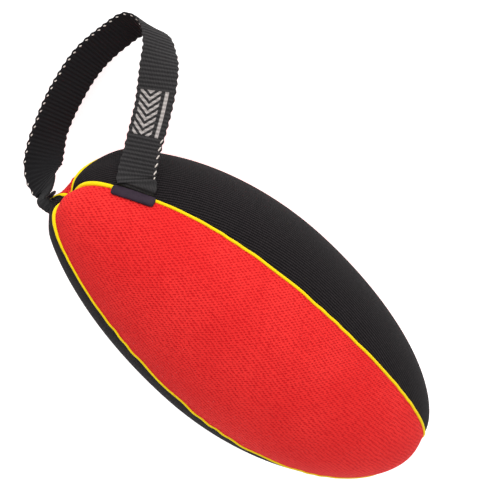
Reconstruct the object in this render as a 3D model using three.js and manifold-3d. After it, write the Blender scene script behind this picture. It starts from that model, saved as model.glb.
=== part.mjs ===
import * as THREE from "three";
import { mergeVertices } from "three/addons/utils/BufferGeometryUtils.js";
import Module from "manifold-3d";

// A stuffed training bumper: four fabric gores sewn together with piped seams over wadding and a foam core,
// with a loop handle of flat webbing sewn into two opposite seams at one end.
// It lies on its back panel. +Z is up, +X runs along the body away from the handle, +Y points to the right
// side panel, and the origin is the centre of the flat that it rests on. All lengths are in millimetres.

const wasm = await Module();
wasm.setup();
const { PI, sin, cos, abs, sign, exp, min, max, asin, acos } = Math;
const vec = (x, y, z) => new THREE.Vector3(x, y, z);

// Body
const halfLength = 126;
const halfWidth = 59;
const halfDepth = 64;
const seamAngle = (48.6 * PI) / 180; // from the middle of the front or back panel to each seam
const endSharpness = 1.95; // exponents of the body's outline
const endFullness = 0.52;
const widestShift = 0.017; // the widest place lies this part of the half length past the middle
const leanLeft = 6.3; // the handle end leans this much to the left and up, and the far end to the right and down
const leanUp = 2.3;
const poleLeft = 4.6; // and the handle pole this much more
const poleUp = 3;
const restFlat = 3; // how far the resting side is pressed flat
const bodyX = -2; // puts the middle of the resting flat at x = 0
const bodyZ = halfDepth - restFlat;

// Gores
const seamSink = 0.015; // seams lie this part of the radius below the middle of a panel
const poleDimple = 10.3; // the stitched poles are drawn in by this much
const dimpleReach = 0.25; // station angle over which the dimple fades
const puffReach = 0.16; // station angle over which a panel's puffed middle begins
const dimpleFill = 0.75; // part of the dimple that a panel's puffed middle fills again

// The handle end's back is tucked under, most at one girth angle.
const endTuck = 0.7;
const tuckGirth = (195 * PI) / 180;
const tuckFrom = 0.85; // part of the half length where it starts

// The left end of the webbing pulls its seam out into a low tent.
const tentStation = 0.35;
const tentPull = { x: -1.3, y: -7.9, z: 0.8 };
const tentLength = 0.15; // station angle
const tentSide = 0.4; // girth angles over which it fades on the left and the back panel
const tentBack = 0.12;

// Cover
const panelThickness = 2;
const panelEdge = 2.6; // a panel's edge to its seam line
const panelStart = 0.1; // station angle of a panel's end
const leftPanelStart = 0.2; // the left panel is cut back at the near pole, where the webbing enters its seam
const gap = 0.3; // clearance between touching pieces

// Piping: a cord inside a folded tape whose two flanges are sewn into the seam
const pipingRadius = 1.5;
const tapeThickness = 0.45;
const cordRadius = 0.72;
const flangeDepth = 4.5;
const flangeGap = 0.17; // half the space between the two flanges
const pipingStart = 0.095;

// Filling
const padDepth = 3; // from the cover's outside to the wadding
const padEdge = 7; // the wadding stops this short of each seam
const padStart = 0.5;
const coreInset = 15; // the foam core is this much smaller than the body all round
const coreSides = 14;
const coreStart = 0.12;
const corePadGap = 2;

// Handle
const webbingWidth = 20;
const webbingThickness = 1.6;
const rightRootStation = 0.63; // station angles of the two sewn ends
const leftRootStation = 0.33;
const rootOffset = 2.6; // the webbing lies beside the piping
const tailDepth = 6; // webbing sewn inside the cover
const tailLength = 26; // from the hidden end to where the free loop begins
const notchLength = 27; // opening left in a side panel's edge for the webbing
const notchEdge = 7;

// Bars that close the seam over each webbing end
const barLength = 23;
const barWidth = 6.2;
const leftBarStation = 0.38; // the left bar sits off the webbing's middle, away from the crowded pole
const barEdge = 1.3; // reaches this far past the seam line, beside the webbing
const barTop = 2.9; // heights over the seam line
const barUnderside = pipingRadius + 0.4;

// Thread tacks at the two poles
const tackRadius = 1.7;

// Distance of a station along the body, from -1 at the handle pole to 1 at the far pole.
const along = (station) => -cos(station);

// How full the outline is at a station: 1 at the widest place, 0 at the poles.
function fullness(station) {
  const s = along(station);
  const shifted = s - widestShift * (1 - s * s);
  return max(0, 1 - abs(shifted) ** endSharpness) ** endFullness;
}

// Where a girth angle lies between a seam (0) and the middle of a panel (1). Girth 0 is up, PI / 2 is right.
function puff(girth) {
  const fromSeam = acos(abs(cos(girth))) - seamAngle;
  const reach = fromSeam < 0 ? seamAngle : PI / 2 - seamAngle;
  const w = abs(fromSeam) / reach;
  return 1 - (1 - w) ** 2;
}

// How near a girth is to the side that is tucked under at the handle end, from 0 to 1.
const underneath = (girth) => (0.5 + 0.5 * cos(girth - tuckGirth)) ** 2;

// How much narrower the body is where its handle end is tucked under.
function tuck(s, girth) {
  const part = min(1, max(0, (-s - tuckFrom) / (1 - tuckFrom)));
  return 1 - endTuck * part * part * (3 - 2 * part) * underneath(girth);
}

// How much of the tent's pull a place gets, from 0 to 1.
function tent(station, girth) {
  const fromSeam = ((((girth - seamAngle) % (2 * PI)) + 2 * PI) % (2 * PI)) - PI;
  const reach = fromSeam < 0 ? tentBack : tentSide;
  return exp(-(((station - tentStation) / tentLength) ** 2) - (fromSeam / reach) ** 2);
}

// How far the body leans at a part of its length.
const lean = (s) => -s * abs(s);

// The outside of the cover.
function skin(station, girth) {
  const s = along(station);
  const toPole = min(station, PI - station);
  const swell = puff(girth) * (1 - exp(-((max(0, toPole) / puffReach) ** 1.5)));
  const refill = s < 0 ? 1 - underneath(girth) : 1;
  const dimple = poleDimple * exp(-((toPole / dimpleReach) ** 2)) * (1 - dimpleFill * swell * refill);
  const girthScale = (1 - seamSink + seamSink * swell) * fullness(station) * tuck(s, girth);
  const poleLean = s < 0 ? s ** 8 : 0;
  const pull = tent(station, girth);
  const x = bodyX + halfLength * s - sign(s) * dimple + tentPull.x * pull;
  const left = leanLeft * lean(s) + poleLeft * poleLean;
  const up = leanUp * lean(s) + poleUp * poleLean;
  const y = halfWidth * girthScale * sin(girth) - left + tentPull.y * pull;
  const z = bodyZ + halfDepth * girthScale * cos(girth) + up + tentPull.z * pull;
  return vec(x, y, max(0, z));
}

// The outward direction of a surface given by a function of station and girth.
function outward(surface, station, girth) {
  const step = 0.004;
  const lengthwise = surface(station + step, girth).sub(surface(station - step, girth));
  const crosswise = surface(station, girth + step).sub(surface(station, girth - step));
  return lengthwise.cross(crosswise).normalize();
}

// A point under the cover's outside, by a depth.
const underSkin = (depth) => (station, girth) =>
  skin(station, girth).addScaledVector(outward(skin, station, girth), -depth);

// The outside of the foam core, a plain shape without gores, grown by an extra amount.
const coreSkin = (extra) => (station, girth) => {
  const s = along(station);
  const full = fullness(station);
  const y = (halfWidth - coreInset + extra) * full * sin(girth) - leanLeft * lean(s);
  const z = bodyZ + (halfDepth - coreInset + extra) * full * cos(girth) + leanUp * lean(s);
  return vec(bodyX + (halfLength - coreInset + extra) * s, y, z);
};

// A closed surface through a row of rings. A ring runs out along one side and back along the other, so point
// j faces the point as far from the ring's end, and strips between the two sides close both ends.
function loft(rings) {
  const count = rings[0].length;
  const index = [];
  const quad = (a, b, c, d) => index.push(a, b, c, a, c, d);
  for (let i = 0; i + 1 < rings.length; i++) {
    for (let j = 0; j < count; j++) {
      const k = (j + 1) % count;
      quad(i * count + j, i * count + k, (i + 1) * count + k, (i + 1) * count + j);
    }
  }
  const last = (rings.length - 1) * count;
  for (let j = 0; j + 1 < count / 2; j++) {
    const m = count - 1 - j;
    quad(j, m, m - 1, j + 1);
    quad(last + j, last + j + 1, last + m - 1, last + m);
  }
  const position = rings.flat().flatMap((p) => [p.x, p.y, p.z]);
  if (signedVolume(position, index) < 0) index.reverse();
  const geometry = new THREE.BufferGeometry();
  geometry.setAttribute("position", new THREE.Float32BufferAttribute(position, 3));
  geometry.setIndex(index);
  return geometry;
}

function signedVolume(position, index) {
  const at = (i) => vec(...position.slice(3 * i, 3 * i + 3));
  let sum = 0;
  for (let t = 0; t < index.length; t += 3) {
    sum += at(index[t]).dot(at(index[t + 1]).cross(at(index[t + 2])));
  }
  return sum / 6;
}

const toSolid = (geometry) => {
  const merged = mergeVertices(geometry, 1e-4);
  const vertProperties = merged.attributes.position.array;
  return new wasm.Manifold(new wasm.Mesh({ numProp: 3, vertProperties, triVerts: merged.index.array }));
};

function fromSolid(solid) {
  const mesh = solid.getMesh();
  const geometry = new THREE.BufferGeometry();
  geometry.setAttribute("position", new THREE.BufferAttribute(mesh.vertProperties, 3));
  geometry.setIndex(new THREE.BufferAttribute(mesh.triVerts, 1));
  return geometry;
}

const cut = (geometry, tool) => fromSolid(toSolid(geometry).subtract(toSolid(tool)));

// Values from start to end, closer together near both ends.
function stations(start, count) {
  const span = PI - 2 * start;
  return Array.from({ length: count + 1 }, (_, i) => {
    const even = i / count;
    return start + span * (0.55 * even + 0.45 * (0.5 - 0.5 * cos(PI * even)));
  });
}

// A layer of one gore between an outer and an inner surface, its edges a distance in from both seams.
function goreLayer({ from, to, edge, start, outer, inner, steps, across }) {
  const rings = stations(start, steps).map((station) => {
    const radius = halfWidth * (1 - seamSink) * fullness(station);
    const inset = asin(min(0.9, edge / radius));
    const girths = Array.from({ length: across + 1 }, (_, j) => {
      return from + inset + ((to - from - 2 * inset) * j) / across;
    });
    const top = girths.map((girth) => outer(station, girth));
    const bottom = girths.map((girth) => inner(station, girth)).reverse();
    return [...top, ...bottom];
  });
  return loft(rings);
}

// The local directions of a seam: along it, across it towards growing girth, and outwards.
function seamFrame(station, girth) {
  const step = 0.01;
  const lengthwise = skin(station + step, girth).sub(skin(station - step, girth)).normalize();
  const across = vec(0, cos(girth), -sin(girth));
  across.addScaledVector(lengthwise, -across.dot(lengthwise)).normalize();
  const out = across.clone().cross(lengthwise).negate();
  return { origin: skin(station, girth), lengthwise, across, out };
}

// A point given by its place across a seam and its height over it.
const seamPoint = (frame, across, height) =>
  frame.origin.clone().addScaledVector(frame.across, across).addScaledVector(frame.out, height);

// A closed solid with a constant outline, given as [across, height] pairs, along a seam.
const alongSeam = (girth, start, steps, outline) =>
  loft(
    stations(start, steps).map((station) => {
      const frame = seamFrame(station, girth);
      return outline.map(([across, height]) => seamPoint(frame, across, height));
    }),
  );

// The folded tape of a piping: out along its outside and back along its inside.
function tapeOutline() {
  const turns = 6;
  const arc = (radius, offset) => {
    const open = asin(offset / radius);
    return Array.from({ length: turns + 1 }, (_, i) => {
      const angle = PI + open + ((2 * PI - 2 * open) * i) / turns;
      return [radius * sin(angle), radius * cos(angle)];
    });
  };
  const side = (radius, offset) => [[-offset, -flangeDepth], ...arc(radius, offset), [offset, -flangeDepth]];
  const outside = side(pipingRadius, flangeGap + tapeThickness);
  const inside = side(pipingRadius - tapeThickness, flangeGap);
  return [...outside, ...inside.reverse()];
}

const cordOutline = Array.from({ length: 6 }, (_, i) => {
  const angle = (PI * i) / 3;
  return [cordRadius * sin(angle), cordRadius * cos(angle)];
});

// The bar's outline: over the piping and down to the front or back panel beside it.
const barOutline = [
  [barEdge - barWidth, 1.5],
  [barEdge - barWidth + 0.5, 2.3],
  [barEdge - barWidth + 2.3, barTop],
  [0.1, barTop],
  [1, 2.6],
  [barEdge, 2.2],
  [barEdge, barUnderside],
  [0.6, barUnderside],
  [0, barUnderside],
  [-1.2, 1.6],
  [-1.75, 0.8],
  [barEdge - barWidth, 0.8],
];

// A solid lying along a seam, centred on one of the webbing's roots. The outline may change with the part of
// the length, from -1 to 1.
function alongRoot({ station, girth }, length, steps, outlineAt) {
  const speed = skin(station + 0.1, girth).distanceTo(skin(station - 0.1, girth)) / 0.2;
  const rings = Array.from({ length: steps + 1 }, (_, i) => {
    const part = -1 + (2 * i) / steps;
    const frame = seamFrame(station + (part * length) / 2 / speed, girth);
    return outlineAt(part).map(([across, height]) => seamPoint(frame, across, height));
  });
  return loft(rings);
}

// The bar, with its two ends rounded off.
function endBar(root) {
  const middle = barEdge - barWidth / 2;
  return alongRoot(root, barLength, 10, (part) => {
    const rounding = abs(part) > 0.95 ? 0.72 : 1;
    return barOutline.map(([across, height]) => {
      if (height <= 2 && across >= middle) return [across, height];
      return [middle + (across - middle) * rounding, height > 2 ? 2 + (height - 2) * rounding : height];
    });
  });
}

// What is cut from a side panel's edge where a webbing end passes through its seam.
const notch = (root) =>
  alongRoot(root, notchLength, 8, () => [
    [-1, 5],
    [notchEdge, 5],
    [notchEdge, -6],
    [-1, -6],
  ]);

const rightSeam = { station: rightRootStation, girth: seamAngle };
const leftSeam = { station: leftRootStation, girth: PI + seamAngle };
const rightRoot = seamFrame(rightSeam.station, rightSeam.girth);
const leftRoot = seamFrame(leftSeam.station, leftSeam.girth);
const leftAcross = leftRoot.lengthwise.clone().negate();

// The webbing's route from its right end to its left end: points on its centre line, each with the direction
// from one edge to the other. Between the two roots the points are chosen by hand.
const route = [
  [seamPoint(rightRoot, rootOffset, -tailDepth), rightRoot.lengthwise],
  [seamPoint(rightRoot, rootOffset, -3), rightRoot.lengthwise],
  [seamPoint(rightRoot, rootOffset, 1), rightRoot.lengthwise],
  [seamPoint(rightRoot, rootOffset + 2.4, 3.8), rightRoot.lengthwise],
  [vec(-106.5, 24.6, 81.4), vec(0.76, 0.60, 0.25)],
  [vec(-112.3, 35.0, 73.9), vec(0.63, 0.64, 0.45)],
  [vec(-121.8, 53.5, 61.6), vec(0.68, 0.63, 0.38)],
  [vec(-130.1, 65.9, 51.2), vec(0.80, 0.60, -0.02)],
  [vec(-134.5, 71.4, 41.9), vec(0.90, 0.32, -0.31)],
  [vec(-140.3, 73.6, 29.6), vec(0.93, 0.17, -0.34)],
  [vec(-146.4, 66.9, 20.0), vec(0.94, -0.11, -0.31)],
  [vec(-148.1, 53.1, 16.3), vec(0.94, -0.16, -0.29)],
  [vec(-148.6, 34.6, 17.0), vec(0.98, -0.02, -0.20)],
  [vec(-144.6, 13.1, 22.6), vec(0.96, 0.18, -0.22)],
  [vec(-139.3, -2.8, 29.5), vec(0.91, 0.28, -0.29)],
  [vec(-133.8, -13.5, 37.5), vec(0.82, 0.58, -0.01)],
  [vec(-130.8, -18.1, 43.1), vec(0.51, 0.77, 0.39)],
  [vec(-127.9, -20.5, 49.7), vec(0.16, 0.77, 0.62)],
  [vec(-125.7, -21.7, 56.1), vec(-0.09, 0.72, 0.68)],
  [seamPoint(leftRoot, 1.4, 3.9), leftAcross],
  [seamPoint(leftRoot, rootOffset, 0.5), leftAcross],
  [seamPoint(leftRoot, rootOffset, -3), leftAcross],
  [seamPoint(leftRoot, rootOffset, -tailDepth), leftAcross],
];
const centreLine = new THREE.CatmullRomCurve3(route.map(([point]) => point));
centreLine.arcLengthDivisions = 600;
const webbingLength = centreLine.getLength();

// The direction across the webbing at a part of its length.
function webbingAcross(part) {
  const place = centreLine.getUtoTmapping(part) * (route.length - 1);
  const before = min(Math.floor(place), route.length - 2);
  const across = route[before][1].clone().lerp(route[before + 1][1], place - before);
  const lengthwise = centreLine.getTangentAt(part);
  return across.addScaledVector(lengthwise, -across.dot(lengthwise)).normalize();
}

// A stretch of the webbing between two distances from its right end.
function webbing(start, end, steps) {
  const halfAcross = webbingWidth / 2;
  const halfThick = webbingThickness / 2;
  const rings = Array.from({ length: steps + 1 }, (_, i) => {
    const part = (start + ((end - start) * i) / steps) / webbingLength;
    const centre = centreLine.getPointAt(part);
    const across = webbingAcross(part);
    const out = across.clone().cross(centreLine.getTangentAt(part));
    const corner = (a, b) =>
      centre.clone().addScaledVector(across, a * halfAcross).addScaledVector(out, b * halfThick);
    return [corner(-1, 1), corner(1, 1), corner(1, -1), corner(-1, -1)];
  });
  return loft(rings);
}

const yellow = { color: 0xf2cf00, roughness: 0.7 };
const red = { color: 0xe02222, roughness: 0.9 };
const black = { color: 0x1c1b1c, roughness: 0.9 };
const white = { color: 0xe8e6df, roughness: 1 };
const aubergine = { color: 0x3a2840, roughness: 0.6 };
const strapGrey = { color: 0x262425, roughness: 0.85 };

const bumper = new THREE.Group();
const add = (parent, name, geometry, finish) => {
  const mesh = new THREE.Mesh(geometry, new THREE.MeshStandardMaterial({ metalness: 0, ...finish }));
  mesh.name = name;
  parent.add(mesh);
};

const gores = [
  { name: "front", panel: "front_panel", from: -seamAngle, to: seamAngle, finish: red },
  { name: "right", panel: "right_side_panel", from: seamAngle, to: PI - seamAngle, finish: black },
  { name: "back", panel: "back_panel", from: PI - seamAngle, to: PI + seamAngle, finish: red },
  { name: "left", panel: "left_side_panel", from: PI + seamAngle, to: 2 * PI - seamAngle, finish: black },
];
const seams = [
  { name: "front_right", girth: seamAngle },
  { name: "back_right", girth: PI - seamAngle },
  { name: "back_left", girth: PI + seamAngle },
  { name: "front_left", girth: -seamAngle },
];

const notches = { right: notch(rightSeam), left: notch(leftSeam) };

function addCover() {
  for (const { name, panel, from, to, finish } of gores) {
    const start = name === "left" ? leftPanelStart : panelStart;
    const shape = { from, to, edge: panelEdge, start, steps: 32, across: 7 };
    const whole = goreLayer({ ...shape, outer: skin, inner: underSkin(panelThickness) });
    add(bumper, panel, notches[name] ? cut(whole, notches[name]) : whole, finish);
  }
}

function addPipings() {
  for (const { name, girth } of seams) {
    add(bumper, name + "_piping_tape", alongSeam(girth, pipingStart, 32, tapeOutline()), yellow);
    add(bumper, name + "_piping_cord", alongSeam(girth, pipingStart, 32, cordOutline), white);
  }
}

function addFilling() {
  const girths = Array.from({ length: coreSides }, (_, j) => (2 * PI * j) / coreSides);
  const ring = (station) => girths.map((girth) => coreSkin(0)(station, girth));
  add(bumper, "foam_core", loft(stations(coreStart, 16).map(ring)), white);
  for (const { name, from, to } of gores) {
    const shape = { from, to, edge: padEdge, start: padStart, steps: 16, across: 4 };
    const pad = goreLayer({ ...shape, outer: underSkin(padDepth), inner: coreSkin(corePadGap) });
    add(bumper, name + "_wadding", pad, white);
  }
}

// The thread tack that closes the hole between the four pipings at a pole.
function addPoleTack(name, station, outwards) {
  const tack = new THREE.SphereGeometry(tackRadius, 10, 6);
  tack.deleteAttribute("normal");
  tack.deleteAttribute("uv");
  const centre = skin(station, 0);
  tack.scale(1.2, 1, 1);
  tack.translate(centre.x + outwards * 0.5, centre.y, centre.z);
  add(bumper, name, fromSolid(toSolid(tack)), yellow);
}

function addHandle() {
  add(bumper, "right_webbing_tail", webbing(0, tailLength - gap, 14), strapGrey);
  add(bumper, "handle_webbing", webbing(tailLength, webbingLength - tailLength, 60), strapGrey);
  add(bumper, "left_webbing_tail", webbing(webbingLength - tailLength + gap, webbingLength, 14), strapGrey);
  add(bumper, "right_end_bar", endBar(rightSeam), aubergine);
  add(bumper, "left_end_bar", endBar({ ...leftSeam, station: leftBarStation }), aubergine);
}

addCover();
addPipings();
addFilling();
addPoleTack("near_pole_tack", 0, -1);
addPoleTack("far_pole_tack", PI, 1);
addHandle();

export default bumper;
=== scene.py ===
"""A stuffed training bumper with a loop handle of flat webbing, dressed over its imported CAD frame."""

import bpy
import numpy as np
from mathutils import Matrix, Vector


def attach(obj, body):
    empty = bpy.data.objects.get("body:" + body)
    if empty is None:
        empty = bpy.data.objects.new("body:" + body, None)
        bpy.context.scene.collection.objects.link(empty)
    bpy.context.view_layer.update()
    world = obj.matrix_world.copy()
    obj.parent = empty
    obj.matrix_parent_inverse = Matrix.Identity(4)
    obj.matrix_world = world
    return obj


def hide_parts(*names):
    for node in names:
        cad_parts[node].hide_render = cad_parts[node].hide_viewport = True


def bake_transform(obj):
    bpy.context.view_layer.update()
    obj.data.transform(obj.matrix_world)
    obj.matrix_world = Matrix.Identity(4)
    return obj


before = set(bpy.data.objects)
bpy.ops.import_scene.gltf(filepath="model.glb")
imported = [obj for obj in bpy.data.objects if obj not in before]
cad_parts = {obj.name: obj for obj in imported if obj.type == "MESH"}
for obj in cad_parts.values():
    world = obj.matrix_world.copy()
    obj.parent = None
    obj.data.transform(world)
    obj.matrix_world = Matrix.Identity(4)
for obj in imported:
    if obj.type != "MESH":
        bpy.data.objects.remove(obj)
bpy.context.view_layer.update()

# All dimensions are in millimetres, in the frame of the CAD part. Meshes are made in millimetres and
# scaled once, when they become objects.
MM = 0.001

# Body
HALF_LENGTH = 126
HALF_WIDTH = 59
HALF_DEPTH = 64
SEAM_ANGLE = np.radians(48.6)
END_SHARPNESS = 1.95
END_FULLNESS = 0.52
WIDEST_SHIFT = 0.017
LEAN_LEFT = 6.3
LEAN_UP = 2.3
POLE_LEFT = 4.6
POLE_UP = 3
REST_FLAT = 3
BODY_X = -2
BODY_Z = HALF_DEPTH - REST_FLAT
SEAM_SINK = 0.015
POLE_DIMPLE = 10.3
DIMPLE_REACH = 0.25
PUFF_REACH = 0.16
DIMPLE_FILL = 0.75
PUCKER = 0.22  # height of the waves beside a seam
PUCKER_REACH = 0.13

# The handle end's back is tucked under, most at one girth angle.
END_TUCK = 0.7
TUCK_GIRTH = np.radians(195)
TUCK_FROM = 0.85

# The left end of the webbing pulls its seam out into a low tent.
TENT_STATION = 0.35
TENT_PULL = np.array([-1.3, -7.9, 0.8])
TENT_LENGTH = 0.15
TENT_SIDE = 0.4
TENT_BACK = 0.12

# The right bar draws its seam towards the front panel. Next to the handle pole the right panel swells and
# the back seam beside it is gripped, so the panel hangs over it. A place is a station and a girth, and how
# far it reaches along and around the body.
SEAM_PULL = np.array([0.8, -0.9, 0.6])
SEAM_PULL_PLACE = (0.63, SEAM_ANGLE, 0.22, 0.3)
SWELL = 3.2
SWELL_PLACE = (0.46, np.pi - SEAM_ANGLE - 0.26, 0.2, 0.22)
GRIP = 2.6
GRIP_PLACE = (0.66, np.pi - SEAM_ANGLE, 0.26, 0.14)

# Cover
GORE_THICKNESS = 1
GORE_START = 0.045
GORE_STEPS = 250
GORE_COLUMNS = 56
GORE_HUG = 0.1  # gap between a gore's turned down edge and the piping
GORE_EDGE = [(150, 1), (125, 1), (104, 1), (88, 1.04), (76, 1.3)]  # degrees round the piping, part of the hug
MESH_PITCH = 1.9  # between the pores of the red fabric, around the body
MESH_STRETCH = 1.6  # the pitch along the body is this many times that
MESH_SLANT = -0.45
RIB_FABRIC_PITCH = 1.6

# Piping
PIPING_RADIUS = 1.35  # next to the handle pole
PIPING_THIN = 0.62  # the part of it that stands out along the rest, where the gores grip it
PIPING_THIN_FROM = 0.5
PIPING_THIN_REACH = 0.12
PIPING_PINCH_REACH = 0.1
PIPING_START = 0.02
PIPING_STEPS = 420
PIPING_SIDES = 14

# Handle
WEBBING_WIDTH = 20
WEBBING_THICKNESS = 1.6
WEBBING_STEP = 0.3
WEBBING_COLUMNS = 22
RIGHT_STATION = 0.63
LEFT_STATION = 0.33
ROOT_OFFSET = 2.6
TAIL_DEPTH = 6
GATHER = 0.45  # part by which the edge nearer the pole draws in on its way into the left seam
GATHER_FROM = 6  # before the webbing's left end
GATHER_LENGTH = 22
RIB_PITCH = 2.1
RIB_RELIEF = 0.14
SCALLOP = 0.3  # the edges go in and out by this much, once in every two ribs
STITCH_START = 12.6
STITCH_END = 20
STITCH_INSET = 0.8
STITCH_SINK = 0.25
STITCH_RADIUS = 0.37
SHORT_STITCH = 0.75  # half its length
LONG_STITCH = 1.3  # half its length
LONG_STITCH_END = 36  # how far from the right end the long ones go

# The woven mark on the webbing: its middle along it, and its parts across it
MOTIF_PLACE = 46.5
MOTIF_LENGTH = 24
MOTIF_PITCH = 3.6
MOTIF_SHIFT = 2.5
MOTIF_HALF_WIDTH = 5.6
MOTIF_BAR = 5.8
MOTIF_BAR_HALF_WIDTH = 1.1

# Bars
LEFT_BAR_STATION = 0.38
BAR_LENGTH = 23
BAR_WIDTH = 5.6
BAR_EDGE = 0.8
BAR_UNDERSIDE = 1.4
BAR_MIDDLE = 1.5  # the height that its rounded ends shrink towards
BAR_END = 0.78  # and the size of the last ring
BAR_STEPS = 16

# Thread tacks at the poles
TACK_HALF_LENGTH = 2.3
TACK_RADIUS = 0.42
TACK_ANGLES = np.radians([12, 57, 102, 147])


# ---------------------------------------------------------------- shape of the body

def fullness(station):
    """The girth at a station as a part of the widest one: 0 at both poles."""
    s = -np.cos(station)
    shifted = s - WIDEST_SHIFT * (1 - s * s)
    return np.clip(1 - np.abs(shifted) ** END_SHARPNESS, 0, None) ** END_FULLNESS


def puff(girth):
    """0 at a seam and 1 in the middle of a panel."""
    from_seam = np.arccos(np.clip(np.abs(np.cos(girth)), 0, 1)) - SEAM_ANGLE
    reach = np.where(from_seam < 0, SEAM_ANGLE, np.pi / 2 - SEAM_ANGLE)
    return 1 - (1 - np.abs(from_seam) / reach) ** 2


def soft_floor(z, softness=1.2):
    """z, eased into 0 where it would go below it."""
    return 0.5 * (z + np.sqrt(z * z + softness * softness))


def underneath(girth):
    """How near a girth is to the side that is tucked under at the handle end, from 0 to 1."""
    return (0.5 + 0.5 * np.cos(girth - TUCK_GIRTH)) ** 2


def tuck(s, girth):
    """How much narrower the body is where its handle end is tucked under."""
    part = np.clip((-s - TUCK_FROM) / (1 - TUCK_FROM), 0, 1)
    return 1 - END_TUCK * part * part * (3 - 2 * part) * underneath(girth)


def tent(station, girth):
    """How much of the tent's pull a place gets, from 0 to 1."""
    from_seam = np.mod(girth - SEAM_ANGLE, 2 * np.pi) - np.pi
    reach = np.where(from_seam < 0, TENT_BACK, TENT_SIDE)
    return np.exp(-(((station - TENT_STATION) / TENT_LENGTH) ** 2) - (from_seam / reach) ** 2)


def pucker(station, girth):
    """Small waves that the stitching leaves beside each seam."""
    from_seam = np.arccos(np.clip(np.abs(np.cos(girth)), 0, 1)) - SEAM_ANGLE
    short = np.sin(47 * station + 3 * np.sin(11 * station) + 2 * girth)
    wave = short + 0.6 * np.sin(29 * station - 5 * girth)
    return PUCKER * wave * np.exp(-((from_seam / PUCKER_REACH) ** 2)) * np.sin(station) ** 2


def near_place(station, girth, place):
    """1 at a place on the skin, fading to 0 around it."""
    middle, around, reach, reach_around = place
    return np.exp(-(((station - middle) / reach) ** 2) - ((girth - around) / reach_around) ** 2)


def skin(station, girth):
    """The outside of the cover. Girth 0 is up and a quarter turn is right; station 0 is the handle pole."""
    station, girth = np.broadcast_arrays(np.asarray(station, float), np.asarray(girth, float))
    s = -np.cos(station)
    to_pole = np.clip(np.minimum(station, np.pi - station), 0, None)
    swell = puff(girth) * (1 - np.exp(-((to_pole / PUFF_REACH) ** 1.5)))
    refill = np.where(s < 0, 1 - underneath(girth), 1)
    dimple = POLE_DIMPLE * np.exp(-((to_pole / DIMPLE_REACH) ** 2)) * (1 - DIMPLE_FILL * swell * refill)
    girth_scale = (1 - SEAM_SINK + SEAM_SINK * swell) * fullness(station) * tuck(s, girth)
    raised = SWELL * near_place(station, girth, SWELL_PLACE) - GRIP * near_place(station, girth, GRIP_PLACE)
    raised = raised + pucker(station, girth)
    girth_scale = girth_scale + raised / HALF_WIDTH
    lean = -s * np.abs(s)
    pole_lean = np.where(s < 0, s**8, 0)
    x = BODY_X + HALF_LENGTH * s - np.sign(s) * dimple
    y = HALF_WIDTH * girth_scale * np.sin(girth) - LEAN_LEFT * lean - POLE_LEFT * pole_lean
    z = BODY_Z + HALF_DEPTH * girth_scale * np.cos(girth) + LEAN_UP * lean + POLE_UP * pole_lean
    pulled = TENT_PULL * tent(station, girth)[..., None]
    pulled = pulled + SEAM_PULL * near_place(station, girth, SEAM_PULL_PLACE)[..., None]
    x, y, z = np.moveaxis(np.stack([x, y, z], -1) + pulled, -1, 0)
    return np.stack([x, y, soft_floor(z)], -1)


def unit(v):
    return v / np.maximum(np.linalg.norm(v, axis=-1, keepdims=True), 1e-9)


def seam_frame(station, girth):
    """Origin, and the directions along the seam, across it towards growing girth, and outwards."""
    station = np.asarray(station, float)
    step = 0.01
    lengthwise = unit(skin(station + step, girth) - skin(station - step, girth))
    across = np.broadcast_to([0, np.cos(girth), -np.sin(girth)], lengthwise.shape)
    across = unit(across - lengthwise * np.sum(across * lengthwise, -1, keepdims=True))
    out = -np.cross(across, lengthwise)
    return skin(station, girth), lengthwise, across, out


def seam_point(root, across, height):
    """A point beside a seam frame, so far across it and so high over it."""
    origin, _, sideways, out = root
    return origin + across * sideways + height * out


def stations(start, count):
    """Values along the body, closer together near both ends."""
    even = np.linspace(0, 1, count + 1)
    return start + (np.pi - 2 * start) * (0.55 * even + 0.45 * (0.5 - 0.5 * np.cos(np.pi * even)))


# ---------------------------------------------------------------- meshes

def mesh_object(name, points, faces, weave=None):
    """A smooth mesh. weave holds each point's place in its cloth, in millimetres, for its material."""
    mesh = bpy.data.meshes.new(name)
    mesh.from_pydata((np.asarray(points) * MM).tolist(), [], [list(map(int, f)) for f in faces])
    mesh.validate()
    if weave is not None:
        attribute = mesh.attributes.new("weave", "FLOAT_VECTOR", "POINT")
        attribute.data.foreach_set("vector", np.asarray(weave, np.float32).ravel())
    mesh.polygons.foreach_set("use_smooth", [True] * len(mesh.polygons))
    made = bpy.data.objects.new(name, mesh)
    bpy.context.collection.objects.link(made)
    return made


def ring_faces(rows, columns):
    """Faces of a tube of rings, with both ends closed."""
    faces = []
    for i in range(rows - 1):
        for j in range(columns):
            k = (j + 1) % columns
            faces.append([i * columns + j, i * columns + k, (i + 1) * columns + k, (i + 1) * columns + j])
    faces.append(list(range(columns))[::-1])
    faces.append([(rows - 1) * columns + j for j in range(columns)])
    return faces


def shell_faces(rows, columns):
    """Faces of a closed sheet: an outer grid, then an inner grid of the same size, joined all round."""
    faces = []
    inner = rows * columns
    for i in range(rows - 1):
        for j in range(columns - 1):
            a, b = i * columns + j, i * columns + j + 1
            c, d = b + columns, a + columns
            faces.append([a, b, c, d])
            faces.append([inner + d, inner + c, inner + b, inner + a])
    for i in range(rows - 1):
        first, last = i * columns, i * columns + columns - 1
        faces.append([first, first + columns, inner + first + columns, inner + first])
        faces.append([last + columns, last, inner + last, inner + last + columns])
    for j in range(columns - 1):
        end = (rows - 1) * columns + j
        faces.append([j + 1, j, inner + j, inner + j + 1])
        faces.append([end, end + 1, inner + end + 1, inner + end])
    return faces


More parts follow.
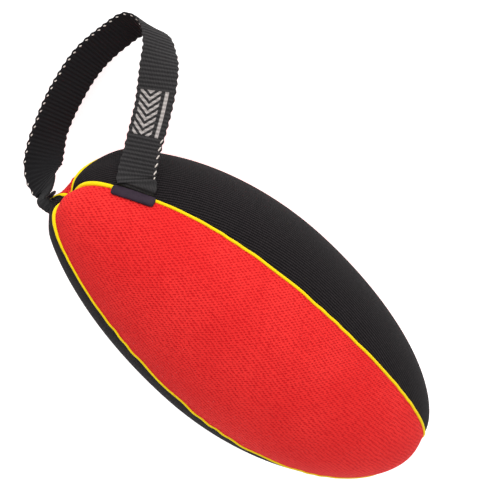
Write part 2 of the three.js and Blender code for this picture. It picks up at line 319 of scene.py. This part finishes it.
def outward_faces(made):
    """Turns the faces the right way if the mesh came out inside out."""
    mesh = made.data
    points = np.array([v.co for v in mesh.vertices])
    volume = 0
    for polygon in mesh.polygons:
        a, b, c = points[list(polygon.vertices)[:3]]
        volume += np.dot(a, np.cross(b, c))
        if len(polygon.vertices) == 4:
            volume += np.dot(a, np.cross(c, points[polygon.vertices[3]]))
    if volume < 0:
        mesh.flip_normals()
    return made


def distance_along(points):
    """The length of a line up to each of its points."""
    steps = np.linalg.norm(np.diff(points, axis=0), axis=-1)
    return np.concatenate([np.zeros((1,) + steps.shape[1:]), np.cumsum(steps, axis=0)])


# ---------------------------------------------------------------- gores

def gore_grid(start, end):
    """The outside of one gore between two seams, as a grid of points, with its edges turned down."""
    station = stations(GORE_START, GORE_STEPS)
    radius = HALF_WIDTH * (1 - SEAM_SINK) * fullness(station)
    hug = PIPING_RADIUS + GORE_HUG
    inset = np.arcsin(np.clip((hug + 1) / radius, 0, 0.62))
    part = np.linspace(0, 1, GORE_COLUMNS + 1)
    part = 0.8 * part + 0.2 * (0.5 - 0.5 * np.cos(np.pi * part))
    girth = start + inset[:, None] + (end - start - 2 * inset[:, None]) * part
    middle = skin(station[:, None], girth)
    sides = []
    for seam, sign in ((start, 1), (end, -1)):
        origin, _, across, out = seam_frame(station, seam)
        squeeze = piping_squeeze(station)
        rows = []
        for angle, reach in GORE_EDGE:
            a = np.radians(angle)
            r = hug * reach * squeeze
            rows.append(origin + (sign * r * np.sin(a))[:, None] * across + (r * np.cos(a))[:, None] * out)
        sides.append(np.stack(rows, 1))
    return np.concatenate([sides[0], middle, sides[1][:, ::-1]], 1)


def gore(name, start, end):
    """One panel between two seams, as a thin closed sheet with its place in the cloth at every point."""
    outer = gore_grid(start, end)
    rows, columns = outer.shape[:2]
    lengthwise = np.gradient(outer, axis=0)
    crosswise = np.gradient(outer, axis=1)
    normal = unit(np.cross(lengthwise, crosswise))
    inner = outer - normal * GORE_THICKNESS
    middle = columns // 2
    along = distance_along(outer[:, middle])
    across = distance_along(np.swapaxes(outer, 0, 1)).T
    across = across - across[:, middle : middle + 1]
    weave = np.stack([np.broadcast_to(along[:, None], across.shape), across, np.zeros_like(across)], -1)
    points = np.concatenate([outer.reshape(-1, 3), inner.reshape(-1, 3)])
    weave = np.concatenate([weave.reshape(-1, 3)] * 2)
    return outward_faces(mesh_object(name, points, shell_faces(rows, columns), weave))


# ---------------------------------------------------------------- piping

def piping_squeeze(station):
    """How thick the piping is along its seam: pinched where the four meet at a pole, gripped past that."""
    to_pole = np.minimum(station, np.pi - station)
    pinched = 0.5 + 0.5 * (1 - np.exp(-((to_pole / PIPING_PINCH_REACH) ** 2)))
    gripped = 0.5 + 0.5 * np.tanh((station - PIPING_THIN_FROM) / PIPING_THIN_REACH)
    return pinched * (1 - (1 - PIPING_THIN) * gripped)


def piping(name, girth):
    """A round tube along one seam."""
    station = stations(PIPING_START, PIPING_STEPS)
    origin, _, across, out = seam_frame(station, girth)
    radius = PIPING_RADIUS * piping_squeeze(station)
    along = distance_along(origin)
    angle = 2 * np.pi * (np.arange(PIPING_SIDES) + 0.5) / PIPING_SIDES + np.pi
    offset = np.sin(angle)[None, :, None] * across[:, None] + np.cos(angle)[None, :, None] * out[:, None]
    points = origin[:, None] + offset * radius[:, None, None]
    turn = np.broadcast_to(angle * PIPING_RADIUS, points.shape[:2])
    weave = np.stack([np.broadcast_to(along[:, None], turn.shape), turn, np.zeros(turn.shape)], -1)
    faces = ring_faces(len(station), PIPING_SIDES)
    return outward_faces(mesh_object(name, points.reshape(-1, 3), faces, weave.reshape(-1, 3)))


# ---------------------------------------------------------------- webbing

RIGHT_ROOT = seam_frame(RIGHT_STATION, SEAM_ANGLE)
LEFT_ROOT = seam_frame(LEFT_STATION, np.pi + SEAM_ANGLE)
LEFT_ACROSS = -LEFT_ROOT[1]

# The webbing's centre line from its right end to its left end, each point with the direction across its
# width from the edge nearer the handle end.
ROUTE = [
    (seam_point(RIGHT_ROOT, ROOT_OFFSET, -TAIL_DEPTH), RIGHT_ROOT[1]),
    (seam_point(RIGHT_ROOT, ROOT_OFFSET, -3), RIGHT_ROOT[1]),
    (seam_point(RIGHT_ROOT, ROOT_OFFSET, -0.3), RIGHT_ROOT[1]),
    (seam_point(RIGHT_ROOT, ROOT_OFFSET + 1.7, 2.3), RIGHT_ROOT[1]),
    ((-106.5, 24.6, 81.4), (0.76, 0.60, 0.25)),
    ((-112.3, 35.0, 73.9), (0.63, 0.64, 0.45)),
    ((-121.8, 53.5, 61.6), (0.68, 0.63, 0.38)),
    ((-130.1, 65.9, 51.2), (0.80, 0.60, -0.02)),
    ((-134.5, 71.4, 41.9), (0.90, 0.32, -0.31)),
    ((-140.3, 73.6, 29.6), (0.93, 0.17, -0.34)),
    ((-146.4, 66.9, 20.0), (0.94, -0.11, -0.31)),
    ((-148.1, 53.1, 16.3), (0.94, -0.16, -0.29)),
    ((-148.6, 34.6, 17.0), (0.98, -0.02, -0.20)),
    ((-144.6, 13.1, 22.6), (0.96, 0.18, -0.22)),
    ((-139.3, -2.8, 29.5), (0.91, 0.28, -0.29)),
    ((-133.8, -13.5, 37.5), (0.82, 0.58, -0.01)),
    ((-130.8, -18.1, 43.1), (0.51, 0.77, 0.39)),
    ((-127.9, -20.5, 49.7), (0.16, 0.77, 0.62)),
    ((-125.7, -21.7, 56.1), (-0.09, 0.72, 0.68)),
    (seam_point(LEFT_ROOT, 1.4, 3.9), LEFT_ACROSS),
    (seam_point(LEFT_ROOT, ROOT_OFFSET, 0.5), LEFT_ACROSS),
    (seam_point(LEFT_ROOT, ROOT_OFFSET, -3), LEFT_ACROSS),
    (seam_point(LEFT_ROOT, ROOT_OFFSET, -TAIL_DEPTH), LEFT_ACROSS),
]


def smooth_route(knots, per_span=60):
    """A centripetal Catmull-Rom curve through the knots, as points with their knot numbers."""
    knots = np.array(knots, float)
    padded = np.vstack([2 * knots[0] - knots[1], knots, 2 * knots[-1] - knots[-2]])
    points, numbers = [], []
    for i in range(len(knots) - 1):
        p0, p1, p2, p3 = padded[i : i + 4]
        d0, d1, d2 = (np.linalg.norm(b - a) ** 0.5 for a, b in ((p0, p1), (p1, p2), (p2, p3)))
        t1 = ((p1 - p0) / d0 - (p2 - p0) / (d0 + d1) + (p2 - p1) / d1) * d1
        t2 = ((p2 - p1) / d1 - (p3 - p1) / (d1 + d2) + (p3 - p2) / d2) * d1
        for t in np.arange(per_span) / per_span:
            a = (2 * t**3 - 3 * t**2 + 1) * p1 + (t**3 - 2 * t**2 + t) * t1
            points.append(a + (-2 * t**3 + 3 * t**2) * p2 + (t**3 - t**2) * t2)
            numbers.append(i + t)
    points.append(knots[-1])
    numbers.append(len(knots) - 1)
    return np.array(points), np.array(numbers)


class Strap:
    """The webbing's path, with the directions along, across and out of its face at any length."""

    def __init__(self, route):
        points, numbers = smooth_route([p for p, _ in route])
        self.points = points
        self.lengths = distance_along(points)
        self.length = self.lengths[-1]
        across = np.array([a for _, a in route], float)
        self.hints = np.stack([np.interp(numbers, range(len(route)), across[:, k]) for k in range(3)], -1)

    def pick(self, values, s):
        return np.stack([np.interp(s, self.lengths, values[:, k]) for k in range(3)], -1)

    def at(self, s):
        """The centre at a length s, and the directions along, across and out."""
        s = np.asarray(s, float)
        centre = self.pick(self.points, s)
        tangents = unit(np.gradient(self.points, axis=0))
        along = unit(self.pick(tangents, s))
        across = self.pick(self.hints, s)
        across = unit(across - along * np.sum(across * along, -1, keepdims=True))
        return centre, along, across, np.cross(across, along)

    def place(self, s, w, h):
        """Points at a length s, a distance w across and a height h over the middle of the webbing."""
        centre, _, across, out = self.at(s)
        part = 1 - np.clip((self.length - GATHER_FROM - s) / GATHER_LENGTH, 0, 1)
        gathered = 1 - GATHER * part**2 * (3 - 2 * part)
        w = np.where(np.asarray(w) < 0, w * gathered, w)
        return centre + w[..., None] * across + np.asarray(h)[..., None] * out


STRAP = Strap(ROUTE)


def webbing(name):
    """Ribbed webbing with scalloped edges, in one length."""
    s = np.arange(0, STRAP.length, WEBBING_STEP)
    u = np.linspace(-1, 1, WEBBING_COLUMNS)
    across = np.sign(u) * np.abs(u) ** 0.9
    wave = np.cos(2 * np.pi * s / RIB_PITCH)
    half_width = WEBBING_WIDTH / 2 + SCALLOP * np.cos(np.pi * s / RIB_PITCH)
    w = half_width[:, None] * across
    rounding = (1 - np.abs(across) ** 10) ** 0.5
    rib = RIB_RELIEF * wave[:, None] * np.cos(0.5 * np.pi * np.abs(across) ** 6)
    h = (WEBBING_THICKNESS / 2 - RIB_RELIEF + rib) * (0.35 + 0.65 * rounding)
    stretch = np.broadcast_to(s[:, None], w.shape)
    top = STRAP.place(stretch, w, h)
    bottom = STRAP.place(stretch, w, -h)
    weave = np.stack([stretch, w, np.ones_like(w)], -1)
    under = np.stack([stretch, w, -np.ones_like(w)], -1)
    points = np.concatenate([top.reshape(-1, 3), bottom.reshape(-1, 3)])
    cloth = np.concatenate([weave.reshape(-1, 3), under.reshape(-1, 3)])
    return outward_faces(mesh_object(name, points, shell_faces(len(s), WEBBING_COLUMNS), cloth))


def capsule(centre, axis, side, half_length, radius):
    """Points and faces of a small rounded stitch."""
    up = np.cross(axis, side)
    rings, sides = 7, 8
    points = []
    for i in range(rings):
        t = -1 + 2 * i / (rings - 1)
        r = radius * (1 - abs(t) ** 3) ** 0.5 if 0 < i < rings - 1 else radius * 0.35
        for j in range(sides):
            a = 2 * np.pi * j / sides
            points.append(centre + t * half_length * axis + r * (np.cos(a) * side + np.sin(a) * up))
    return points, ring_faces(rings, sides)


def joined(name, parts):
    """One object from several closed meshes, each given as points and faces."""
    points, faces, base = [], [], 0
    for part_points, part_faces in parts:
        points.extend(part_points)
        faces.extend([[i + base for i in f] for f in part_faces])
        base += len(part_points)
    return outward_faces(mesh_object(name, points, faces))


def edge_stitch(s, edge, face, half_length):
    """A stitch beside one edge of the webbing, on its outer (1) or inner (-1) face."""
    _, along, across, out = STRAP.at(s)
    w = edge * (WEBBING_WIDTH / 2 - STITCH_INSET)
    h = face * (WEBBING_THICKNESS / 2 - STITCH_SINK)
    axis = unit(along + 0.45 * edge * across)
    return capsule(STRAP.place(s, w, h), axis, unit(np.cross(axis, out)), half_length, STITCH_RADIUS)


def selvage_threads(name):
    """Pale thread in every other rib of one edge, and near the right end on the other edge too."""
    parts = []
    for s in np.arange(STITCH_START, STRAP.length - STITCH_END, 2 * RIB_PITCH):
        parts.append(edge_stitch(s, -1, -1, SHORT_STITCH))
        if s < LONG_STITCH_END:
            parts.append(edge_stitch(s, 1, 1, LONG_STITCH))
    return joined(name, parts)


# ---------------------------------------------------------------- bars and tacks

BAR_OUTLINE = [
    (BAR_EDGE - BAR_WIDTH, 1.2),
    (BAR_EDGE - BAR_WIDTH + 0.5, 1.9),
    (BAR_EDGE - BAR_WIDTH + 2.1, 2.4),
    (-0.3, 2.4),
    (0.5, 2.1),
    (BAR_EDGE, 1.7),
    (BAR_EDGE, BAR_UNDERSIDE),
    (0.4, BAR_UNDERSIDE),
    (-0.3, BAR_UNDERSIDE),
    (-1.4, 1.2),
    (-1.9, 0.6),
    (BAR_EDGE - BAR_WIDTH, 0.6),
]


def end_bar(name, station, girth):
    """A bar along a seam, with its two ends rounded off."""
    speed = np.linalg.norm(skin(station + 0.1, girth) - skin(station - 0.1, girth)) / 0.2
    middle = BAR_EDGE - BAR_WIDTH / 2
    points, weave = [], []
    for i in range(BAR_STEPS + 1):
        part = -1 + 2 * i / BAR_STEPS
        root = seam_frame(station + part * BAR_LENGTH / 2 / speed, girth)
        rounding = 1 if abs(part) < 1 else BAR_END
        for across, height in BAR_OUTLINE:
            if height > BAR_UNDERSIDE or across < middle:
                across = middle + (across - middle) * rounding
                height = min(height, BAR_MIDDLE + (height - BAR_MIDDLE) * rounding)
            points.append(seam_point(root, across, height))
            weave.append((part * BAR_LENGTH / 2, across, height))
    made = outward_faces(mesh_object(name, points, ring_faces(BAR_STEPS + 1, len(BAR_OUTLINE)), weave))
    smoother = made.modifiers.new("smooth", "SUBSURF")
    smoother.levels = smoother.render_levels = 2
    return made


def pole_tack(name, station, outwards):
    """Thread drawn crosswise through the four pipings where they meet."""
    centre = skin(station, 0) + np.array([outwards * 0.8, 0, 0])
    parts = []
    for number, angle in enumerate(TACK_ANGLES):
        axis = np.array([0, np.cos(angle), np.sin(angle)])
        side = np.array([outwards, 0, 0])
        parts.append(capsule(centre + side * 0.12 * number, axis, side, TACK_HALF_LENGTH, TACK_RADIUS))
    return joined(name, parts)


# ---------------------------------------------------------------- materials

class Shader:
    """A material's nodes, each made and linked in one call."""

    def __init__(self, name, base, roughness, **settings):
        self.material = bpy.data.materials.new(name)
        self.material.use_nodes = True
        self.tree = self.material.node_tree
        self.surface = self.tree.nodes["Principled BSDF"]
        self.put("Base Color", base)
        self.put("Roughness", roughness)
        for socket, value in settings.items():
            self.put(socket.replace("_", " "), value)

    def link(self, socket, value):
        if isinstance(value, bpy.types.NodeSocket):
            self.tree.links.new(value, socket)
        elif value is not None:
            colour = socket.type == "RGBA" and len(value) == 3
            socket.default_value = (*value, 1) if colour else value

    def put(self, socket, value):
        self.link(self.surface.inputs[socket], value)

    def node(self, kind, inputs=None, **settings):
        made = self.tree.nodes.new(kind)
        for key, value in settings.items():
            setattr(made, key, value)
        for key, value in (inputs or {}).items():
            self.link(made.inputs[key], value)
        return made

    def math(self, operation, *values):
        made = self.node("ShaderNodeMath", operation=operation)
        for socket, value in zip(made.inputs, values):
            self.link(socket, value)
        return made.outputs[0]

    def wave(self, place, pitch, shift=0.0):
        turned = self.math("MULTIPLY_ADD", place, 2 * np.pi / pitch, shift)
        return self.math("COSINE", turned)

    def ease(self, value, low, high):
        made = self.node("ShaderNodeMapRange", {0: value, 1: low, 2: high}, interpolation_type="SMOOTHSTEP")
        return made.outputs[0]

    def noise(self, scale, detail=2.0, where=None):
        inputs = {"Scale": scale, "Detail": detail}
        if where is not None:
            inputs["Vector"] = where
        else:
            inputs["Vector"] = self.node("ShaderNodeTexCoord").outputs["Object"]
        return self.node("ShaderNodeTexNoise", inputs).outputs["Fac"]

    def weave(self):
        """A place along and across the cloth in millimetres. On the webbing the third value is its face."""
        attribute = self.node("ShaderNodeAttribute", attribute_name="weave")
        parts = self.node("ShaderNodeSeparateXYZ", {0: attribute.outputs["Vector"]})
        return parts.outputs[0], parts.outputs[1], parts.outputs[2]

    def mix(self, factor, first, second):
        made = self.node("ShaderNodeMix", data_type="RGBA")
        self.link(made.inputs[0], factor)
        self.link(made.inputs[6], first)
        self.link(made.inputs[7], second)
        return made.outputs[2]

    def bump(self, height, depth, strength=1.0):
        """Relief of a height from 0 to 1 and a depth in millimetres."""
        made = self.node("ShaderNodeBump", {"Strength": strength, "Distance": depth * MM, "Height": height})
        self.put("Normal", made.outputs[0])


def red_mesh_fabric():
    """Knitted mesh: staggered pores between raised bars of yarn."""
    shader = Shader("red_mesh", (0.8, 0.02, 0.02), 0.85, Specular_IOR_Level=0.15)
    along, across, _ = shader.weave()
    drift = shader.math("MULTIPLY", shader.math("SUBTRACT", shader.noise(160), 0.5), 2.2)
    along = shader.math("ADD", along, drift)
    across = shader.math("MULTIPLY_ADD", along, MESH_SLANT, shader.math("ADD", across, drift))
    rows = shader.wave(along, MESH_STRETCH * MESH_PITCH)
    lattice = shader.math("MULTIPLY", rows, shader.wave(across, MESH_PITCH))
    uneven = shader.noise(650, 3)
    rough = shader.math("MULTIPLY_ADD", shader.math("SUBTRACT", uneven, 0.5), 2.4, lattice)
    pore = shader.ease(rough, -0.1, 0.9)
    yarn = shader.wave(shader.math("MULTIPLY_ADD", across, 0.35, along), 0.7)
    height = shader.math("MULTIPLY_ADD", yarn, 0.08, shader.math("SUBTRACT", 0.8, pore))
    tone = shader.ease(shader.noise(30, 3), 0.3, 0.7)
    lit = shader.mix(tone, (0.77, 0.021, 0.02), (0.84, 0.03, 0.027))
    shader.put("Base Color", shader.mix(pore, lit, (0.6, 0.005, 0.009)))
    shader.bump(height, 0.35, 0.8)
    return shader.material


def black_rib_fabric():
    """Stretch fabric with fine ribs along the body."""
    shader = Shader("black_rib", (0.015, 0.014, 0.015), 0.9, Specular_IOR_Level=0.12)
    along, across, _ = shader.weave()
    drift = shader.math("MULTIPLY", shader.math("SUBTRACT", shader.noise(120), 0.5), 0.8)
    rib = shader.wave(shader.math("ADD", across, drift), RIB_FABRIC_PITCH)
    loop = shader.wave(along, 1.1)
    grain = shader.noise(1100, 2)
    height = shader.math("MULTIPLY_ADD", loop, 0.15, shader.math("MULTIPLY_ADD", rib, 0.4, grain))
    shade = shader.ease(height, 0.1, 1.0)
    shader.put("Base Color", shader.mix(shade, (0.002, 0.0015, 0.002), (0.021, 0.017, 0.018)))
    shader.bump(height, 0.25, 0.6)
    return shader.material


def piping_fabric():
    """Bias-cut tape: fine diagonal threads."""
    shader = Shader("piping", (0.93, 0.72, 0.0), 0.7, Specular_IOR_Level=0.2)
    along, around, _ = shader.weave()
    diagonal = shader.math("ADD", along, around)
    threads = shader.wave(diagonal, 0.7)
    height = shader.math("MULTIPLY_ADD", threads, 0.3, shader.noise(1200, 2))
    shade = shader.ease(height, 0.1, 0.9)
    shader.put("Base Color", shader.mix(shade, (0.84, 0.6, 0.0), (0.98, 0.78, 0.0)))
    shader.bump(height, 0.12, 0.6)
    return shader.material


def motif(shader, along, across, face):
    """1 where the thread of a plain woven mark shows on the outer face: nested chevrons beside a bar."""
    from_middle = shader.math("SUBTRACT", along, MOTIF_PLACE)
    left = shader.math("ADD", across, MOTIF_SHIFT)
    slant = shader.math("MULTIPLY_ADD", shader.math("ABSOLUTE", left), -0.9, from_middle)
    stripes = shader.ease(shader.wave(slant, MOTIF_PITCH), -0.15, 0.15)
    tall = shader.ease(shader.math("ABSOLUTE", from_middle), MOTIF_LENGTH / 2, MOTIF_LENGTH / 2 - 0.4)
    wide = shader.ease(shader.math("ABSOLUTE", left), MOTIF_HALF_WIDTH, MOTIF_HALF_WIDTH - 0.4)
    chevrons = shader.math("MULTIPLY", stripes, shader.math("MULTIPLY", tall, wide))
    from_bar = shader.math("ABSOLUTE", shader.math("SUBTRACT", across, MOTIF_BAR))
    edge = shader.ease(from_bar, MOTIF_BAR_HALF_WIDTH, MOTIF_BAR_HALF_WIDTH - 0.3)
    bar = shader.math("MULTIPLY", edge, tall)
    shown = shader.math("MAXIMUM", chevrons, bar)
    return shader.math("MULTIPLY", shown, shader.math("GREATER_THAN", face, 0.0))


def webbing_fabric():
    """Ribbed polypropylene webbing: warp yarns over each rib, a woven mark, and painted shade over the whole
    inner face.
    """
    shader = Shader("webbing", (0.03, 0.028, 0.029), 0.8, Specular_IOR_Level=0.2)
    along, across, face = shader.weave()
    rib = shader.wave(along, RIB_PITCH)
    warp = shader.wave(across, 0.8)
    grain = shader.noise(1800, 2)
    height = shader.math("MULTIPLY_ADD", warp, 0.25, shader.math("MULTIPLY_ADD", rib, 0.3, grain))
    shade = shader.ease(height, 0.1, 1.0)
    black = shader.mix(shade, (0.012, 0.011, 0.0115), (0.042, 0.039, 0.04))
    pale = shader.mix(shade, (0.28, 0.25, 0.24), (0.5, 0.46, 0.44))
    # Painted shade: the whole inner face gets a darker black in place of the shadow it lies in, the outer
    # face keeps its yarn colours.
    outer = shader.ease(face, -0.6, 0.2)
    black = shader.mix(outer, (0.0065, 0.0058, 0.0068), black)
    shader.put("Base Color", shader.mix(motif(shader, along, across, face), black, pale))
    shader.bump(height, 0.2, 0.7)
    return shader.material


def thread(name, colour):
    """Twisted thread, unevenly light."""
    shader = Shader(name, colour, 0.7, Specular_IOR_Level=0.2)
    grain = shader.noise(2500, 2)
    dark = tuple(0.7 * c for c in colour)
    shader.put("Base Color", shader.mix(shader.ease(grain, 0.3, 0.7), dark, colour))
    shader.bump(grain, 0.1, 0.6)
    return shader.material


def bar_finish():
    """Satin strip with fine lengthwise lines."""
    shader = Shader("bar", (0.05, 0.03, 0.04), 0.6, Specular_IOR_Level=0.15)
    _, across, _ = shader.weave()
    lines = shader.wave(across, 0.45)
    height = shader.math("MULTIPLY_ADD", lines, 0.25, shader.noise(1400, 2))
    shade = shader.ease(shader.noise(160, 2), 0.3, 0.7)
    shader.put("Base Color", shader.mix(shade, (0.018, 0.0105, 0.02), (0.032, 0.018, 0.031)))
    shader.bump(height, 0.1, 0.5)
    return shader.material


def foam_finish():
    """Closed cells, pale."""
    shader = Shader("foam", (0.8, 0.79, 0.74), 0.9)
    cells = shader.noise(900, 3)
    shade = shader.ease(cells, 0.35, 0.6)
    shader.put("Base Color", shader.mix(shade, (0.6, 0.59, 0.54), (0.83, 0.82, 0.77)))
    shader.bump(cells, 0.3, 0.6)
    return shader.material


# ---------------------------------------------------------------- assembly

RED = red_mesh_fabric()
BLACK = black_rib_fabric()
YELLOW = piping_fabric()
STRAP_FABRIC = webbing_fabric()
PALE_THREAD = thread("selvage_thread", (0.78, 0.7, 0.64))
YELLOW_THREAD = thread("tack_thread", (0.9, 0.68, 0.0))
BAR = bar_finish()
FOAM = foam_finish()


def dress(made, material, slot, body, *replaced):
    """Gives a piece its material, the body it rides and the nodes it stands in for; slot is not used."""
    made.data.materials.append(material)
    if body:
        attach(made, body)
    if replaced:
        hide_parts(*replaced)
    return made


GORES = [
    ("front", "front_panel", -SEAM_ANGLE, SEAM_ANGLE, RED, "red_mesh"),
    ("right", "right_side_panel", SEAM_ANGLE, np.pi - SEAM_ANGLE, BLACK, "black_rib"),
    ("back", "back_panel", np.pi - SEAM_ANGLE, np.pi + SEAM_ANGLE, RED, "red_mesh"),
    ("left", "left_side_panel", np.pi + SEAM_ANGLE, 2 * np.pi - SEAM_ANGLE, BLACK, "black_rib"),
]
SEAMS = [
    ("front_right", SEAM_ANGLE),
    ("back_right", np.pi - SEAM_ANGLE),
    ("back_left", np.pi + SEAM_ANGLE),
    ("front_left", -SEAM_ANGLE),
]
BARS = [
    ("right", RIGHT_STATION, SEAM_ANGLE),
    ("left", LEFT_BAR_STATION, np.pi + SEAM_ANGLE),
]

for side, panel, start, end, material, slot in GORES:
    stuffed = gore(side + "_gore", start, end)
    dress(stuffed, material, slot, "body", panel, side + "_wadding")

for seam, girth in SEAMS:
    made = piping(seam + "_piping", girth)
    dress(made, YELLOW, "piping", "body", seam + "_piping_tape", seam + "_piping_cord")

for side, station, girth in BARS:
    dress(end_bar(side + "_bar", station, girth), BAR, "bar", "body", side + "_end_bar")

dress(pole_tack("near_tack", 0, -1), YELLOW_THREAD, "piping", "body", "near_pole_tack")
dress(pole_tack("far_tack", np.pi, 1), YELLOW_THREAD, "piping", "body", "far_pole_tack")

strap = dress(
    webbing("webbing_strap"), STRAP_FABRIC, "webbing", None,
    "handle_webbing", "right_webbing_tail", "left_webbing_tail",
)
threads = dress(selvage_threads("selvage_stitches"), PALE_THREAD, "webbing", None)
for piece in (strap, threads):
    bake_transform(piece)

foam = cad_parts["foam_core"]
foam.material_slots[0].material = FOAM


# ---------------------------------------------------------------- floor, light and camera

FLOOR_GLOW = 0.6
WORLD_LIGHT = 0.42
LIGHT_AIM = Vector((0, 0, 0.06))


def studio():
    """A white floor under a plain white sky."""
    mesh = bpy.data.meshes.new("floor")
    mesh.from_pydata([(-4, -4, 0), (4, -4, 0), (4, 4, 0), (-4, 4, 0)], [], [(0, 1, 2, 3)])
    floor = bpy.data.objects.new("floor", mesh)
    bpy.context.collection.objects.link(floor)
    shader = Shader("floor", (0.93, 0.93, 0.93), 0.9, Emission_Color=(1, 1, 1))
    shader.put("Emission Strength", FLOOR_GLOW)
    mesh.materials.append(shader.material)
    world = bpy.data.worlds.new("studio")
    bpy.context.scene.world = world
    world.use_nodes = True
    background = world.node_tree.nodes["Background"]
    background.inputs[0].default_value = (1, 1, 1, 1)
    background.inputs[1].default_value = WORLD_LIGHT
    bpy.context.scene.view_settings.view_transform = "Standard"


def area_light(name, direction, distance, size, power):
    data = bpy.data.lights.new(name, "AREA")
    data.size = size
    data.energy = power
    lamp = bpy.data.objects.new(name, data)
    lamp.location = Vector(direction).normalized() * distance + LIGHT_AIM
    lamp.rotation_euler = (LIGHT_AIM - lamp.location).to_track_quat("-Z", "Y").to_euler()
    bpy.context.collection.objects.link(lamp)


CAMERA_AZIMUTH = np.radians(233.43)
CAMERA_ELEVATION = np.radians(61.82)
CAMERA_ROLL = np.radians(171.40)
CAMERA_DISTANCE = 1.5
CAMERA_LENS = 205.3
BODY_CENTRE = Vector((BODY_X, 0, BODY_Z)) * MM
AIM_RIGHT, AIM_UP = 0.0037, 0.0346


def place_camera():
    """A long lens above the front panel, turned nearly upside down as the bumper is shown."""
    a, e = CAMERA_AZIMUTH, CAMERA_ELEVATION
    back = Vector((np.sin(a) * np.cos(e), -np.cos(a) * np.cos(e), np.sin(e)))
    level = Vector((0, 0, 1)).cross(back).normalized()
    upright = back.cross(level)
    right = level * np.cos(CAMERA_ROLL) + upright * np.sin(CAMERA_ROLL)
    up = back.cross(right)
    location = BODY_CENTRE + back * CAMERA_DISTANCE
    aim = BODY_CENTRE + right * AIM_RIGHT + up * AIM_UP
    back = (location - aim).normalized()
    right = up.cross(back).normalized()
    up = back.cross(right)
    camera = bpy.data.objects.new("camera", bpy.data.cameras.new("camera"))
    camera.data.lens = CAMERA_LENS
    camera.matrix_world = Matrix.Translation(location) @ Matrix((right, up, back)).transposed().to_4x4()
    bpy.context.collection.objects.link(camera)
    bpy.context.scene.camera = camera


studio()
area_light("key", direction=(-0.7, 0.7, 0.7), distance=1.6, size=1.2, power=20)
area_light("fill", direction=(0.7, -0.3, 0.9), distance=1.8, size=1.6, power=13)
place_camera()
